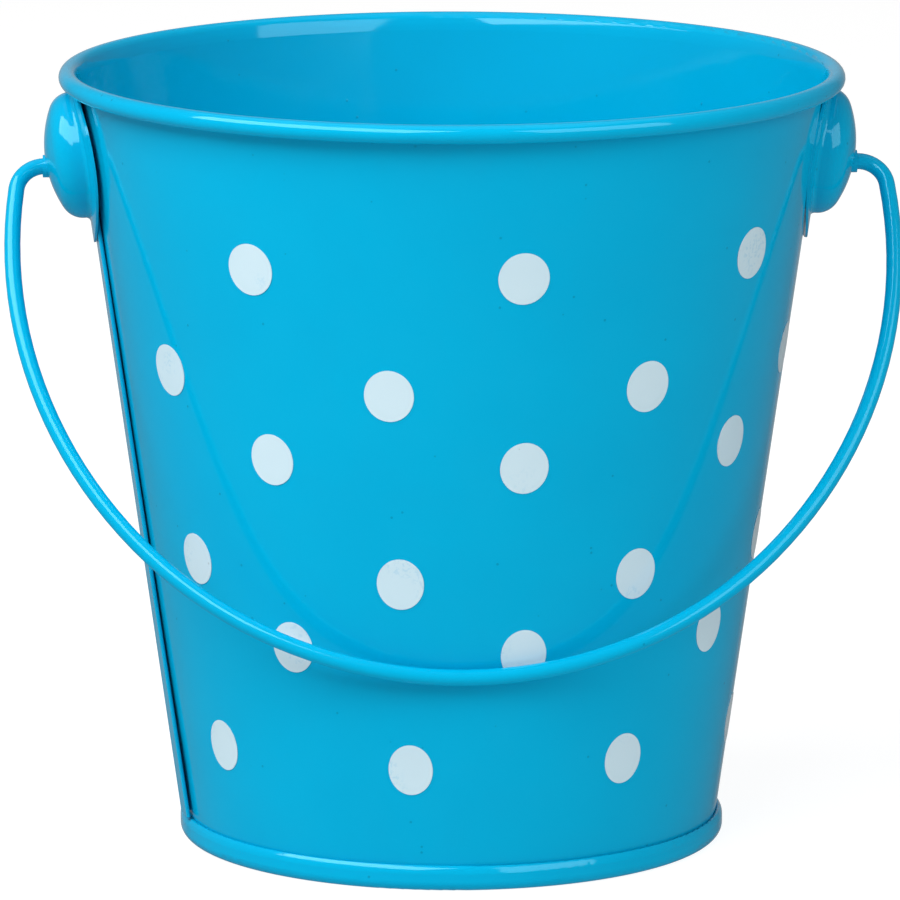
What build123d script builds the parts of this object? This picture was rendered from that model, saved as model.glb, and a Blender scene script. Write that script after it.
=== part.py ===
from build123d import *
from math import asin, atan2, cos, degrees, hypot, radians, sin, sqrt, tan
import os

# A small enamelled tinplate pail with a wire bail. Millimetres, +Z up, origin in the middle of the
# face that it stands on. The two ears lie on the X axis and the lock seam is beside the left ear (-X).
# Azimuths are degrees from the front (-Y), positive towards +X.

# Body
pail_height = 135.3
rim_radius = 68.0
bead_radius = 1.6
bead_turn = 318.0
flare_radius = 9.0
flare_turn = 14.0
sheet = 0.22

# Double seam at the foot, from the outside in
ring_radius = 47.55
ring_height = 4.5
ring_foot_bend = 1.75
ring_shoulder_bend = 1.8
ring_shoulder_turn = 45.0
ring_fold_bend = 0.3
layer_gap = 0.06
hook_height = 3.3
hook_bend_height = 1.8
foot_bend = 0.45
foot_blend = 3.0
foot_blend_height = 4.2
panel_height = 3.3
panel_bend = 0.4
chuck_taper = 25.0
end_hook_depth = 1.9

# Lock seam
seam_width = 5.2
seam_hem = 3.9
seam_inner_hem = 4.05
seam_inner_turn = 150.0
seam_foot_lift = 0.50
seam_top_lift = 0.10
seam_gap = 0.02
seam_bite = 0.15
ramp_bend = 0.6
ramp_angle = 40.0
seam_foot_azimuth = -76.9
seam_twist = -0.048
seam_foot_height = 5.0
seam_top_height = 131.9

# Ears
pivot_height = 118.2
ear_height = 120.4
ear_sheet = 0.4
ear_flange_radius = 15.4
ear_flange_curve = 50.0
ear_standoff = 0.45
ear_apex = 7.1
dome_radius = 11.0
dome_crown = 20.0
dome_corner = 4.0
dome_root_fillet = 0.8
ear_top_gap = 0.25
ear_stock = 1.0
left_ear_lift = 0.45
left_ear_turn = 1.6

# Bail
wire_radius = 1.4
pivot_clearance = 0.1
lip_width = 0.45
lip_reach = 70.35
bail_half_width = 76.15
bail_waist_drop = 15.5
bail_side_radius = 83.0
bail_drop = 95.6
bail_end_bend = 5.0
bail_rest_gap = 0.3
bail_tip = 65.0
head_radius = 2.1
head_length = 1.2
head_chamfer = 0.3

# Printed dots: two alternating sets of columns, three rows each
ink = 0.08
ink_gap = 0.01
dot_blank_reach = 2.0
dot_height = 9.0
dot_column_step = 22.5
dot_first_azimuth = -57.4
dot_columns = 14
dot_rows_low_set = (21.6, 54.75, 87.9)
dot_rows_high_set = (42.05, 75.2, 108.35)
dot_twist = -0.0342
dot_twist_height = 70.0
dot_foot_width_angle = 8.9
dot_top_width_angle = 8.2

os.makedirs("parts", exist_ok=True)


def folded_sheet(start, heading, steps, thickness):
    """Face of a bent strip: its right-hand edge runs through the steps, its thickness lies to the left.

    A step is ("line", length) or ("turn", radius of the right-hand edge, degrees, left positive).
    """
    ends = []
    with BuildLine() as outline:
        for shift in (0.0, thickness):
            angle = heading
            left = Vector(-sin(radians(angle)), cos(radians(angle)))
            point = Vector(*start) + left * shift
            ends.append(point)
            for step in steps:
                ahead = Vector(cos(radians(angle)), sin(radians(angle)))
                if step[0] == "line":
                    edge = Line(point, point + ahead * step[1])
                else:
                    radius = step[1] - shift if step[2] > 0 else step[1] + shift
                    edge = JernArc(point, ahead, radius, step[2])
                    angle += step[2]
                point = edge @ 1
            ends.append(point)
        Line(ends[0], ends[2])
        Line(ends[1], ends[3])
    make_face(outline.edges())


def wall_tangent():
    """Lean of the wall from the vertical, and its length, between the foot blend and the upper flare."""
    lean = 0.0
    for _ in range(20):
        joint = lean + radians(flare_turn)
        offset = flare_radius - bead_radius
        across = (rim_radius - bead_radius + offset * cos(joint)) - (wall_inner_foot + foot_blend)
        up = (pail_height - bead_radius - offset * sin(joint)) - foot_blend_height
        reach = hypot(across, up)
        lean = atan2(across, up) + asin((foot_blend - flare_radius) / reach)
    return lean, sqrt(reach**2 - (foot_blend - flare_radius) ** 2)


# Radii of the layers of the double seam
hook_outer = ring_radius - sheet - layer_gap
end_hook_inner = ring_radius - ring_shoulder_bend * (1 - sin(radians(ring_shoulder_turn)))
end_hook_inner -= ring_fold_bend * (1 + sin(radians(ring_shoulder_turn)))
wall_outer_foot = end_hook_inner - layer_gap / 2
wall_inner_foot = wall_outer_foot - sheet
hook_bend = (hook_outer - wall_inner_foot) / 2
wall_lean, wall_length = wall_tangent()
foot_edge = foot_blend - sheet


def wall_radius(height):
    """Outer radius of the wall's cone at a height."""
    edge_radius = wall_inner_foot + foot_blend - foot_edge * cos(wall_lean)
    edge_height = foot_blend_height + foot_edge * sin(wall_lean)
    return edge_radius + (height - edge_height) * tan(wall_lean)


def on_wall(azimuth, height, proud=0.0):
    """Point on the wall's outer face, and the outward normal there."""
    turn = radians(azimuth)
    normal = Vector(sin(turn) * cos(wall_lean), -cos(turn) * cos(wall_lean), -sin(wall_lean))
    radius = wall_radius(height)
    return Vector(radius * sin(turn), -radius * cos(turn), height) + normal * proud, normal


def seam_plane(height):
    """Plane across the seam: X towards the front, Y outwards, origin on the wall under its middle."""
    front_edge = seam_foot_azimuth + seam_twist * (height - seam_foot_height)
    middle = front_edge - degrees(seam_width / 2 / wall_radius(height))
    origin, outwards = on_wall(middle, height)
    turn = radians(middle)
    forwards = Vector(cos(turn), sin(turn), 0)
    return Plane(origin=origin, x_dir=forwards, z_dir=forwards.cross(outwards))


seam_ends = (
    (seam_plane(seam_foot_height), seam_foot_lift),
    (seam_plane(seam_top_height), seam_top_lift),
)
seam_stack = 3 * sheet + 2 * seam_gap
front_fold = seam_stack / 2
ramp_bend_drop = (ramp_bend + sheet) * (1 - cos(radians(ramp_angle)))

with BuildPart() as bucket_wall:
    # From the lip of the bead, round it, down the wall's inner face and up the foot hook
    with BuildSketch(Plane.XZ):
        lip = 180 - degrees(wall_lean) - bead_turn
        folded_sheet(
            (
                rim_radius - bead_radius + bead_radius * cos(radians(lip)),
                pail_height - bead_radius + bead_radius * sin(radians(lip)),
            ),
            lip + 90,
            [
                ("turn", bead_radius, bead_turn - flare_turn),
                ("turn", flare_radius, flare_turn),
                ("line", wall_length),
                ("turn", foot_blend, degrees(wall_lean)),
                ("line", foot_blend_height - hook_bend_height),
                ("turn", hook_bend, 180),
                ("line", hook_height - hook_bend_height),
            ],
            sheet,
        )
    revolve(axis=Axis.Z)
    # Outer turn of the lock seam: forwards over the wall, round the front, back, and down the ramp
    for plane, lift in seam_ends:
        ramp_drop = lift + seam_stack + seam_bite - ramp_bend_drop
        with BuildSketch(plane):
            folded_sheet(
                (seam_width / 2 - front_fold - seam_hem, lift),
                0,
                [
                    ("line", seam_hem),
                    ("turn", front_fold, 180),
                    ("line", seam_width - front_fold),
                    ("turn", ramp_bend + sheet, ramp_angle),
                    ("line", ramp_drop / sin(radians(ramp_angle))),
                ],
                sheet,
            )
    loft(ruled=True)
    # Inner turn of the lock seam: the wall's other edge, hooked inside the first
    for plane, lift in seam_ends:
        back_fold = (lift + 2 * sheet + seam_gap + seam_bite) / 2
        with BuildSketch(plane):
            folded_sheet(
                (seam_width / 2 - front_fold, lift + 2 * sheet + seam_gap),
                180,
                [("line", seam_inner_hem), ("turn", back_fold, seam_inner_turn)],
                sheet,
            )
    loft(ruled=True)
bucket_wall.part.label = "bucket_wall"

with BuildPart() as bottom_disc:
    # The chuck wall runs down and inwards from the panel to the foot
    chuck_turn = 90 + chuck_taper
    bends = panel_bend + foot_bend
    chuck_length = (panel_height - bends * (1 - cos(radians(chuck_turn)))) / sin(radians(chuck_turn))
    foot_start = wall_inner_foot - sheet - panel_bend + bends * sin(radians(chuck_turn))
    foot_start += chuck_length * cos(radians(chuck_turn))
    shoulder_height = ring_height - ring_fold_bend * (1 - cos(radians(ring_shoulder_turn)))
    shoulder_height -= ring_shoulder_bend * sin(radians(ring_shoulder_turn))
    with BuildSketch(Plane.XZ):
        folded_sheet(
            (0, panel_height),
            0,
            [
                ("line", wall_inner_foot - sheet - panel_bend),
                ("turn", panel_bend, -chuck_turn),
                ("line", chuck_length),
                ("turn", foot_bend, chuck_turn),
                ("line", ring_radius - ring_foot_bend - foot_start),
                ("turn", ring_foot_bend, 90),
                ("line", shoulder_height - ring_foot_bend),
                ("turn", ring_shoulder_bend, ring_shoulder_turn),
                ("turn", ring_fold_bend, 180 - ring_shoulder_turn),
                ("line", end_hook_depth),
            ],
            sheet,
        )
    revolve(axis=Axis.Z)
bottom_disc.part.label = "bottom_disc"

# Both ears are one pressing, drawn at the right: X along the wall, Y up it, Z straight out of it
ear_centre, ear_normal = on_wall(90, ear_height)
ear_face = Plane(origin=ear_centre, x_dir=(0, 1, 0), z_dir=ear_normal)
ear_section = Plane(origin=ear_centre, x_dir=(0, 1, 0), z_dir=-ear_face.y_dir)
ear_hole = Plane(origin=(ear_centre.X, 0, pivot_height), x_dir=(0, 1, 0), z_dir=(1, 0, 0))


def dome_profile(shift):
    """Half section of the dome, inside its outer face by a shift: crown, corner and straight side."""
    crown_centre = ear_apex - dome_crown
    corner_across = dome_radius - dome_corner
    corner_height = crown_centre + sqrt((dome_crown - dome_corner) ** 2 - corner_across**2)
    slope = atan2(corner_height - crown_centre, corner_across)
    crown = dome_crown - shift
    top = (0, crown_centre + crown)
    touch = (crown * cos(slope), crown_centre + crown * sin(slope))
    side = (dome_radius - shift, corner_height)
    with BuildLine() as outline:
        RadiusArc(top, touch, crown)
        RadiusArc(touch, side, dome_corner - shift)
        Polyline(side, (side[0], -ear_stock), (0, -ear_stock), top)
    make_face(outline.edges())


with BuildPart() as right_ear:
    # Dished flange, still solid below, cut to its round outline
    with BuildSketch(ear_section):
        with Locations((0, ear_standoff - ear_flange_curve)):
            Circle(ear_flange_curve + ear_sheet)
    extrude(amount=ear_flange_radius + ear_stock, both=True)
    with BuildSketch(ear_face.offset(-ear_flange_radius / 2)):
        Circle(ear_flange_radius)
    extrude(amount=ear_flange_radius, mode=Mode.INTERSECT)
    with BuildSketch(ear_section):
        dome_profile(0)
    revolve(axis=Axis(ear_centre, ear_normal))
    flange_top = right_ear.faces().filter_by(lambda face: len(face.inner_wires()) == 1)[0]
    fillet(flange_top.inner_wires()[0].edges(), dome_root_fillet)
    # Punched lip round the pivot hole
    with BuildSketch(ear_hole):
        Circle(wire_radius + pivot_clearance + lip_width)
    extrude(amount=lip_reach - ear_centre.X)
    # Hollow it out, pierce it, and trim it under the rim
    with BuildSketch(ear_section):
        with Locations((0, ear_standoff - ear_flange_curve)):
            Circle(ear_flange_curve)
    extrude(amount=ear_flange_radius + ear_stock, both=True, mode=Mode.SUBTRACT)
    with BuildSketch(ear_section):
        dome_profile(ear_sheet)
    revolve(axis=Axis(ear_centre, ear_normal), mode=Mode.SUBTRACT)
    with BuildSketch(ear_hole):
        Circle(wire_radius + pivot_clearance)
    extrude(amount=2 * ear_apex, mode=Mode.SUBTRACT)
    rim_underside = pail_height - 2 * bead_radius
    split(bisect_by=Plane.XY.offset(rim_underside - ear_top_gap), keep=Keep.BOTTOM)
right_ear.part.label = "right_ear"

# The left ear sits over the lock seam, so its front edge stands off the wall
with BuildPart() as left_ear:
    with Locations(
        Location((-lip_reach - left_ear_lift, 0, 0))
        * Rotation(0, 0, -left_ear_turn)
        * Location((lip_reach, 0, 0))
    ):
        add(mirror(right_ear.part, about=Plane.YZ, mode=Mode.PRIVATE))
left_ear.part.label = "left_ear"

# Bail: a wide bottom arc, flatter side arcs, a tight bend and a straight stub into each ear
side_centre = bail_half_width - bail_side_radius
bottom_centre = (
    side_centre**2 + bail_waist_drop**2 - (bail_side_radius - bail_drop) ** 2
) / (2 * (bail_waist_drop + bail_side_radius - bail_drop))
bottom_radius = bail_drop - bottom_centre
bottom_turn = degrees(atan2(-side_centre, bottom_centre - bail_waist_drop))
stub_end_turn = degrees(asin((bail_waist_drop - bail_end_bend) / (bail_side_radius - bail_end_bend)))
stand_clear = (wire_radius + bail_rest_gap) / cos(wall_lean)
bail_lean = asin((wall_radius(pivot_height) + stand_clear) * cos(wall_lean) / bail_drop) - wall_lean
bail_plane = Plane(
    origin=(0, 0, pivot_height), x_dir=(1, 0, 0), z_dir=(0, cos(bail_lean), -sin(bail_lean))
)

with BuildPart() as bail_wire:
    with BuildLine(bail_plane) as bail_path:
        bottom = JernArc((0, bail_drop), (1, 0), bottom_radius, -bottom_turn)
        side = JernArc(bottom @ 1, bottom % 1, bail_side_radius, bottom_turn - 90 - stub_end_turn)
        bend = JernArc(side @ 1, side % 1, bail_end_bend, stub_end_turn - 90)
        Line(bend @ 1, (bail_tip, 0))
        mirror(about=Plane.YZ)
    wire_path = bail_path.wire()
    with BuildSketch(Plane(origin=wire_path @ 0, z_dir=wire_path % 0)):
        Circle(wire_radius)
    sweep(path=wire_path)
    # Upset heads that keep the ends inside the domes
    for end in (-1, 1):
        head_face = Plane(origin=(end * bail_tip, 0, pivot_height), x_dir=(0, 1, 0), z_dir=(end, 0, 0))
        with BuildSketch(head_face):
            Circle(head_radius)
        head = extrude(amount=head_length)
        chamfer(head.edges().filter_by(GeomType.CIRCLE), head_chamfer)
bail_wire.part.label = "bail_wire"

with BuildPart() as polka_dots:
    for column in range(dot_columns):
        rows = dot_rows_high_set if column % 2 else dot_rows_low_set
        for height in rows:
            azimuth = dot_first_azimuth + column * dot_column_step
            azimuth += dot_twist * (height - dot_twist_height)
            centre, outwards = on_wall(azimuth, height)
            share = (height - dot_rows_low_set[0]) / (dot_rows_high_set[-1] - dot_rows_low_set[0])
            width_angle = dot_foot_width_angle + share * (dot_top_width_angle - dot_foot_width_angle)
            width = wall_radius(height) * radians(width_angle)
            along = Vector(cos(radians(azimuth)), sin(radians(azimuth)), 0)
            with BuildSketch(Plane(origin=centre, x_dir=along, z_dir=outwards)):
                Ellipse(width / 2, dot_height / 2)
            extrude(amount=dot_blank_reach, both=True)
    # Keep only the layer of ink that lies on the cone
    for proud, mode in ((ink_gap + ink, Mode.INTERSECT), (ink_gap, Mode.SUBTRACT)):
        low, high = 0, pail_height
        shift = proud / cos(wall_lean)
        with BuildSketch(Plane.XZ):
            Polygon(
                (0, low),
                (wall_radius(low) + shift, low),
                (wall_radius(high) + shift, high),
                (0, high),
                align=None,
            )
        revolve(axis=Axis.Z, mode=mode)
polka_dots.part.label = "polka_dots"

for piece in (bucket_wall, bottom_disc, right_ear, left_ear, bail_wire, polka_dots):
    export_step(piece.part, f"parts/{piece.part.label}.step")
print("wall leans", round(degrees(wall_lean), 3), "foot radius", round(wall_radius(0), 3))
print("bail rests", round(degrees(bail_lean), 3), "degrees forward of straight down")
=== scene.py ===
import math

import bpy
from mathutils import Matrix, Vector

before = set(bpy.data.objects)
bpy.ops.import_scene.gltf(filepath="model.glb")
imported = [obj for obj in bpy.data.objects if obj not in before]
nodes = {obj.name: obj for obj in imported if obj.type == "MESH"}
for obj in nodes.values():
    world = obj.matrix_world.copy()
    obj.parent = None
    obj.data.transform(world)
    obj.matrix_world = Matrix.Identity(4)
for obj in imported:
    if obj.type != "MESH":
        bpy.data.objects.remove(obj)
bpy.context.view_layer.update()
scene = bpy.context.scene

MM = 0.001
WHITE = (1.0, 1.0, 1.0)

# Paint: where the two tones of blue and of ink run to, and the colour of a reflection seen square on
BLUE = (0.0, 0.393, 0.655)
BLUE_DEEP = (0.0, 0.380, 0.640)
BLUE_TINT = (0.45, 0.92, 1.0)
INK = (0.57, 0.735, 0.81)
INK_DEEP = (0.54, 0.71, 0.79)
INK_WEAR = 0.2
PAINT_IOR = 1.5
PAINT_SPECULAR = 0.5
PAINT_ROUGHNESS = (0.06, 0.10)

# Textures of the paint: noise scale, detail and roughness, and the noise values a change runs between
DRIFT = (45.0, 3.0)
DRIFT_EDGE = (0.3, 0.7)
GLOSS = (150.0, 3.0)
GLOSS_EDGE = (0.3, 0.75)
RIPPLE = (420.0, 2.0, 0.55)
GRAIN = (2600.0, 1.0)
PATCHES = (95.0, 1.0)
PATCHES_EDGE = (0.57, 0.67)
RUBS = (1400.0, 3.0, 0.6)
RUBS_EDGE = (0.52, 0.60)

# Dust specks: cells per metre, radius and soft edge in cells, share of the cells that hold one
SPECKS = (560.0, 0.10, 0.06, 0.05)
SPECK_SHADE = 0.45
SPECK_OPACITY = 0.45
RIPPLE_DEPTH = 0.004 * MM
GRAIN_DEPTH = 0.0006 * MM
SPECK_DEPTH = 0.02 * MM

# Floor: light that it gives off, to the bucket and to the camera
FLOOR_REACH = 6.0
FLOOR_ALBEDO = 0.25
FLOOR_ROUGHNESS = 0.9
FLOOR_GLOW = (0.52, 0.88)

# World: how bright the room is in general and straight behind the bucket, and between which directions
# the change lies, as cosines of the angle from straight behind
ROOM_GLOW = (0.13, 0.35)
ROOM_EDGE = (0.88, 0.98)
BACKDROP_GLOW = 1.0

# Camera
SENSOR_WIDTH = 36.0
LENS = 357.1
CAMERA_PLACE = (-0.0692, -1.5264, 0.36336)
CAMERA_TARGET = (-0.00029, 0, 0.06766)
CAMERA_ROLL = 0.05
CAMERA_CLIP = (0.05, 50.0)
LIGHT_TARGET = (0, 0, 0.07)

# ---------------------------------------------------------------- shader helpers


class Shader:
    """A material's node tree, built one node at a time."""

    def __init__(self, name):
        self.material = bpy.data.materials.new(name)
        self.material.use_nodes = True
        self.tree = self.material.node_tree
        self.tree.nodes.clear()
        self.output = self.add("ShaderNodeOutputMaterial")

    def add(self, kind, **values):
        """A node; each value goes to the property or input of that name, and a socket is linked."""
        node = self.tree.nodes.new(kind)
        for name, value in values.items():
            if hasattr(node, name):
                setattr(node, name, value)
            else:
                self.put(node.inputs[name.replace("_", " ")], value)
        return node

    def put(self, socket, value):
        if isinstance(value, bpy.types.NodeSocket):
            self.tree.links.new(value, socket)
        else:
            socket.default_value = value

    def object_point(self):
        return self.add("ShaderNodeTexCoord").outputs["Object"]

    def noise(self, scale, detail=2.0, roughness=0.5):
        node = self.add("ShaderNodeTexNoise", Scale=scale, Detail=detail, Roughness=roughness)
        self.put(node.inputs["Vector"], self.object_point())
        return node.outputs["Fac"]

    def spots(self, scale, radius, edge, keep):
        """1 inside small round spots, one in a share of the cells of a grid, and 0 elsewhere."""
        cells = self.add("ShaderNodeTexVoronoi", Scale=scale, Randomness=1.0)
        self.put(cells.inputs["Vector"], self.object_point())
        inside = self.ramp(cells.outputs["Distance"], radius, radius + edge, 1.0, 0.0)
        shade = self.add("ShaderNodeSeparateColor")
        self.put(shade.inputs["Color"], cells.outputs["Color"])
        chosen = self.ramp(shade.outputs["Red"], 1 - keep, 1 - keep + 0.001, 0.0, 1.0)
        return self.calc("MULTIPLY", inside, chosen)

    def ramp(self, value, low, high, from_value=0.0, to_value=1.0):
        node = self.add("ShaderNodeMapRange", interpolation_type="SMOOTHSTEP")
        self.put(node.inputs["Value"], value)
        self.put(node.inputs["From Min"], low)
        self.put(node.inputs["From Max"], high)
        self.put(node.inputs["To Min"], from_value)
        self.put(node.inputs["To Max"], to_value)
        return node.outputs["Result"]

    def calc(self, operation, *values):
        node = self.add("ShaderNodeMath", operation=operation)
        for socket, value in zip(node.inputs, values):
            self.put(socket, value)
        return node.outputs["Value"]

    def mix(self, share, first, second):
        """The first colour, or the second where the share is 1. Sockets 6, 7 and 2 carry colours."""
        node = self.add("ShaderNodeMix", data_type="RGBA", blend_type="MIX")
        self.put(node.inputs[0], share)
        self.put(node.inputs[6], first)
        self.put(node.inputs[7], second)
        return node.outputs[2]

    def bump(self, height, distance, normal=None):
        node = self.add("ShaderNodeBump")
        self.put(node.inputs["Height"], height)
        self.put(node.inputs["Distance"], distance)
        self.put(node.inputs["Strength"], 1.0)
        if normal is not None:
            self.put(node.inputs["Normal"], normal)
        return node.outputs["Normal"]


def paint(name, colour, deep, tint, wear=0.0):
    """Gloss paint: slight drift in its tone, dust specks, a faint ripple, and rubs where it has wear."""
    s = Shader(name)
    drift = s.ramp(s.noise(*DRIFT), *DRIFT_EDGE)
    tone = s.mix(drift, (*deep, 1), (*colour, 1))
    specks = s.spots(*SPECKS)
    speck = (*(SPECK_SHADE * c for c in deep), 1)
    tone = s.mix(s.calc("MULTIPLY", specks, SPECK_OPACITY), tone, speck)
    if wear:
        patches = s.ramp(s.noise(*PATCHES), *PATCHES_EDGE)
        rubs = s.ramp(s.noise(*RUBS), *RUBS_EDGE)
        rubs = s.calc("MULTIPLY", s.calc("MULTIPLY", patches, rubs), wear)
        tone = s.mix(rubs, tone, (*BLUE, 1))
    ripple = s.noise(*RIPPLE)
    grain = s.noise(*GRAIN)
    normal = s.bump(ripple, RIPPLE_DEPTH)
    normal = s.bump(grain, GRAIN_DEPTH, normal=normal)
    normal = s.bump(specks, SPECK_DEPTH, normal=normal)
    shader = s.add("ShaderNodeBsdfPrincipled", Metallic=0.0, IOR=PAINT_IOR)
    s.put(shader.inputs["Base Color"], tone)
    s.put(shader.inputs["Roughness"], s.ramp(s.noise(*GLOSS), *GLOSS_EDGE, *PAINT_ROUGHNESS))
    s.put(shader.inputs["Normal"], normal)
    s.put(shader.inputs["Specular IOR Level"], PAINT_SPECULAR)
    s.put(shader.inputs["Specular Tint"], (*tint, 1))
    s.put(s.output.inputs["Surface"], shader.outputs["BSDF"])
    return s.material


enamel = paint("blue_enamel_paint", BLUE, BLUE_DEEP, BLUE_TINT)
bail_enamel = paint("bail_enamel_paint", BLUE, BLUE_DEEP, BLUE_TINT)
ink = paint("dot_ink_paint", INK, INK_DEEP, WHITE, INK_WEAR)

for name, material in (
    ("bucket_wall", enamel),
    ("bottom_disc", enamel),
    ("left_ear", enamel),
    ("right_ear", enamel),
    ("bail_wire", bail_enamel),
    ("polka_dots", ink),
):
    for slot in nodes[name].material_slots:
        slot.material = material

# ---------------------------------------------------------------- floor, lights and camera


def stage_floor():
    """Pale floor that glows, more to the camera than to the bucket, and that no reflection shows."""
    mesh = bpy.data.meshes.new("floor")
    r = FLOOR_REACH
    corners = [(-r, -r, 0), (r, -r, 0), (r, r, 0), (-r, r, 0)]
    mesh.from_pydata(corners, [], [(0, 1, 2, 3)])
    floor = bpy.data.objects.new("floor", mesh)
    scene.collection.objects.link(floor)
    s = Shader("pale_floor")
    shader = s.add("ShaderNodeBsdfPrincipled")
    s.put(shader.inputs["Base Color"], (*([FLOOR_ALBEDO] * 3), 1))
    s.put(shader.inputs["Emission Color"], (*WHITE, 1))
    seen = s.add("ShaderNodeLightPath").outputs["Is Camera Ray"]
    s.put(shader.inputs["Emission Strength"], s.ramp(seen, 0.0, 1.0, *FLOOR_GLOW))
    s.put(shader.inputs["Roughness"], FLOOR_ROUGHNESS)
    s.put(shader.inputs["Specular IOR Level"], 0.0)
    s.put(s.output.inputs["Surface"], shader.outputs["BSDF"])
    mesh.materials.append(s.material)
    floor.visible_glossy = False


def aim(thing, place, target):
    thing.location = place
    thing.rotation_euler = (Vector(target) - Vector(place)).to_track_quat("-Z", "Y").to_euler()


def softbox(name, azimuth, elevation, distance, width, height, power):
    """A rectangular area light that faces the bucket; azimuth is from the front (-Y) towards +X."""
    data = bpy.data.lights.new(name, "AREA")
    data.shape = "RECTANGLE"
    data.size = width
    data.size_y = height
    data.energy = power
    lamp = bpy.data.objects.new(name, data)
    scene.collection.objects.link(lamp)
    turn, lift = math.radians(azimuth), math.radians(elevation)
    target = Vector(LIGHT_TARGET)
    away = Vector((math.sin(turn) * math.cos(lift), -math.cos(turn) * math.cos(lift), math.sin(lift)))
    aim(lamp, target + away * distance, target)


stage_floor()
softbox("key", azimuth=-51.0, elevation=46.0, distance=1.2, width=1.5, height=0.7, power=20.0)
softbox("fill", azimuth=43.0, elevation=29.0, distance=1.4, width=1.0, height=0.9, power=8.0)
softbox("top", azimuth=180.0, elevation=80.0, distance=1.6, width=1.6, height=1.6, power=2.4)

world = bpy.data.worlds.new("studio")
scene.world = world
world.use_nodes = True
tree = world.node_tree
tree.nodes.clear()


def world_range(value, low, high, from_value, to_value):
    """Maps a value from the range low..high to from_value..to_value, either of which may be a socket."""
    node = tree.nodes.new("ShaderNodeMapRange")
    tree.links.new(value, node.inputs["Value"])
    for name, number in (("From Min", low), ("From Max", high)):
        node.inputs[name].default_value = number
    for name, number in (("To Min", from_value), ("To Max", to_value)):
        if isinstance(number, bpy.types.NodeSocket):
            tree.links.new(number, node.inputs[name])
        else:
            node.inputs[name].default_value = number
    return node.outputs["Result"]


# The backdrop is white where the camera sees it; the bucket sees a dim room, somewhat brighter behind
direction = tree.nodes.new("ShaderNodeTexCoord")
behind = tree.nodes.new("ShaderNodeVectorMath")
behind.operation = "DOT_PRODUCT"
behind.inputs[1].default_value = (0, 1, 0)
tree.links.new(direction.outputs["Generated"], behind.inputs[0])
room = world_range(behind.outputs["Value"], *ROOM_EDGE, *ROOM_GLOW)
seen = tree.nodes.new("ShaderNodeLightPath")
background = tree.nodes.new("ShaderNodeBackground")
surface = tree.nodes.new("ShaderNodeOutputWorld")
background.inputs["Color"].default_value = (*WHITE, 1)
strength = world_range(seen.outputs["Is Camera Ray"], 0.0, 1.0, room, BACKDROP_GLOW)
tree.links.new(strength, background.inputs["Strength"])
tree.links.new(background.outputs["Background"], surface.inputs["Surface"])

scene.view_settings.view_transform = "Standard"
scene.view_settings.look = "None"

camera_data = bpy.data.cameras.new("camera")
camera_data.sensor_width = SENSOR_WIDTH
camera_data.lens = LENS
camera_data.clip_start = CAMERA_CLIP[0]
camera_data.clip_end = CAMERA_CLIP[1]
camera = bpy.data.objects.new("camera", camera_data)
scene.collection.objects.link(camera)
aim(camera, CAMERA_PLACE, CAMERA_TARGET)
camera.rotation_euler.rotate_axis("Z", math.radians(CAMERA_ROLL))
scene.camera = camera
